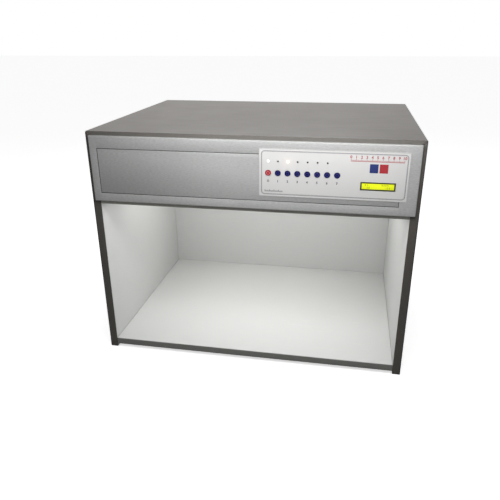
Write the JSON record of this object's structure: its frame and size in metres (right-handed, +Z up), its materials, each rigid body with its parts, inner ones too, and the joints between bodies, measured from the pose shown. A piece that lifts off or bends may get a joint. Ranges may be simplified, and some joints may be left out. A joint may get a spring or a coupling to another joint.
{
  "type": "colour light cabinet",
  "caption": "Colour-matching light cabinet: a grey viewing booth open at the front, under a lamp compartment with a push-button panel and display.",
  "frame": {"origin": "on the surface it stands on, under the middle of its overall length and depth", "axes": "+X along its length to the viewer's right, +Z up, the open front towards -Y"},
  "size_m": [0.71, 0.5494, 0.54],
  "materials": {
    "grey_laminate": "dark grey laminate, satin",
    "chamber_paint": "matt neutral light grey paint",
    "batten_wood": "plain sawn wood",
    "fascia_enamel": "silver grey enamel",
    "dark_sheet": "dark grey powder coat",
    "white_sheet": "white reflector enamel",
    "bare_steel": "zinc plated",
    "overlay_film": "printed polyester film",
    "button_red": "red moulded plastic",
    "button_blue": "navy moulded plastic",
    "indicator_lens": "clear lens, unlit",
    "indicator_lit": "clear lens, lit",
    "black_plastic": "black moulded plastic",
    "display_glass": "yellow-green backlit glass",
    "circuit": "glass fibre laminate with parts",
    "opal_acrylic": "opal diffusing sheet",
    "lamp_glass": "phosphor coated glass",
    "dark_lamp_glass": "dark violet glass",
    "lampholder": "white moulded plastic"
  },
  "bodies": {
    "cabinet": {"left_side_board": "grey_laminate", "right_side_board": "grey_laminate", "top_board": "grey_laminate", "base_board": "chamber_paint", "back_board": "chamber_paint", "ceiling_board": "chamber_paint", "rear_batten": "batten_wood", "front_fascia": "fascia_enamel", "control_overlay": "overlay_film", "indicator_1": "indicator_lit", "indicator_2": "indicator_lens", "indicator_3": "indicator_lit", "indicator_4": "indicator_lens", "indicator_5": "indicator_lens", "indicator_6": "indicator_lens", "indicator_7": "indicator_lens", "display_bezel": "black_plastic", "display_screen": "display_glass", "display_module": "circuit", "control_board": "circuit", "left_fascia_bracket": "bare_steel", "right_fascia_bracket": "bare_steel", "reflector_tray": "white_sheet", "diffuser_panel": "opal_acrylic", "left_lampholder_rail": "lampholder", "right_lampholder_rail": "lampholder", "left_filament_lamp": "lamp_glass", "right_filament_lamp": "lamp_glass", "left_lamp_socket": "lampholder", "right_lamp_socket": "lampholder", "ballast_1": "dark_sheet", "ballast_2": "dark_sheet", "ballast_3": "dark_sheet", "terminal_block": "lampholder", "rear_service_panel": "dark_sheet", "panel_screw_1": "bare_steel", "panel_screw_2": "bare_steel", "panel_screw_3": "bare_steel", "panel_screw_4": "bare_steel", "panel_screw_5": "bare_steel", "panel_screw_6": "bare_steel", "mains_inlet": "black_plastic", "mains_switch_housing": "black_plastic"},
    "power_button": {"power_button": "button_red"},
    "source_button_1": {"source_button_1": "button_blue"},
    "source_button_2": {"source_button_2": "button_blue"},
    "source_button_3": {"source_button_3": "button_blue"},
    "source_button_4": {"source_button_4": "button_blue"},
    "source_button_5": {"source_button_5": "button_blue"},
    "source_button_6": {"source_button_6": "button_blue"},
    "source_button_7": {"source_button_7": "button_blue"},
    "mains_switch_rocker": {"mains_switch_rocker": "button_red"},
    "fuse_drawer": {"fuse_drawer": "black_plastic"},
    "lamp_tube_1": {"lamp_tube_1": "lamp_glass"},
    "lamp_tube_2": {"lamp_tube_2": "lamp_glass"},
    "lamp_tube_3": {"lamp_tube_3": "lamp_glass"},
    "lamp_tube_4": {"lamp_tube_4": "lamp_glass"},
    "lamp_tube_5": {"lamp_tube_5": "lamp_glass"},
    "lamp_tube_6": {"lamp_tube_6": "dark_lamp_glass"}
  },
  "joints": [
    {"name": "power_button_press", "type": "slide", "parent": "cabinet", "child": "power_button", "axis": [0, 1, 0], "range_m": [0, 0.001], "stiffness_N_per_m": 800, "springref_m": -0.0005},
    {"name": "source_button_1_press", "type": "slide", "parent": "cabinet", "child": "source_button_1", "axis": [0, 1, 0], "range_m": [0, 0.001], "stiffness_N_per_m": 800, "springref_m": -0.0005},
    {"name": "source_button_2_press", "type": "slide", "parent": "cabinet", "child": "source_button_2", "axis": [0, 1, 0], "range_m": [0, 0.001], "stiffness_N_per_m": 800, "springref_m": -0.0005},
    {"name": "source_button_3_press", "type": "slide", "parent": "cabinet", "child": "source_button_3", "axis": [0, 1, 0], "range_m": [0, 0.001], "stiffness_N_per_m": 800, "springref_m": -0.0005},
    {"name": "source_button_4_press", "type": "slide", "parent": "cabinet", "child": "source_button_4", "axis": [0, 1, 0], "range_m": [0, 0.001], "stiffness_N_per_m": 800, "springref_m": -0.0005},
    {"name": "source_button_5_press", "type": "slide", "parent": "cabinet", "child": "source_button_5", "axis": [0, 1, 0], "range_m": [0, 0.001], "stiffness_N_per_m": 800, "springref_m": -0.0005},
    {"name": "source_button_6_press", "type": "slide", "parent": "cabinet", "child": "source_button_6", "axis": [0, 1, 0], "range_m": [0, 0.001], "stiffness_N_per_m": 800, "springref_m": -0.0005},
    {"name": "source_button_7_press", "type": "slide", "parent": "cabinet", "child": "source_button_7", "axis": [0, 1, 0], "range_m": [0, 0.001], "stiffness_N_per_m": 800, "springref_m": -0.0005},
    {"name": "mains_switch_rock", "type": "hinge", "parent": "cabinet", "child": "mains_switch_rocker", "pos_m": [0.191, 0.25675, 0.45], "axis": [1, 0, 0], "range_deg": [-14, 0]},
    {"name": "fuse_drawer_pull", "type": "slide", "parent": "cabinet", "child": "fuse_drawer", "axis": [0, 1, 0], "range_m": [0, 0.018]},
    {"name": "lamp_tube_1_turn", "type": "hinge", "parent": "cabinet", "child": "lamp_tube_1", "pos_m": [0, -0.07535, 0.441], "axis": [1, 0, 0], "range_deg": [0, 90]},
    {"name": "lamp_tube_2_turn", "type": "hinge", "parent": "cabinet", "child": "lamp_tube_2", "pos_m": [0, -0.03535, 0.441], "axis": [1, 0, 0], "range_deg": [0, 90]},
    {"name": "lamp_tube_3_turn", "type": "hinge", "parent": "cabinet", "child": "lamp_tube_3", "pos_m": [0, 0.00465, 0.441], "axis": [1, 0, 0], "range_deg": [0, 90]},
    {"name": "lamp_tube_4_turn", "type": "hinge", "parent": "cabinet", "child": "lamp_tube_4", "pos_m": [0, 0.04465, 0.441], "axis": [1, 0, 0], "range_deg": [0, 90]},
    {"name": "lamp_tube_5_turn", "type": "hinge", "parent": "cabinet", "child": "lamp_tube_5", "pos_m": [0, 0.08465, 0.441], "axis": [1, 0, 0], "range_deg": [0, 90]},
    {"name": "lamp_tube_6_turn", "type": "hinge", "parent": "cabinet", "child": "lamp_tube_6", "pos_m": [0, 0.12465, 0.441], "axis": [1, 0, 0], "range_deg": [0, 90]}
  ]
}
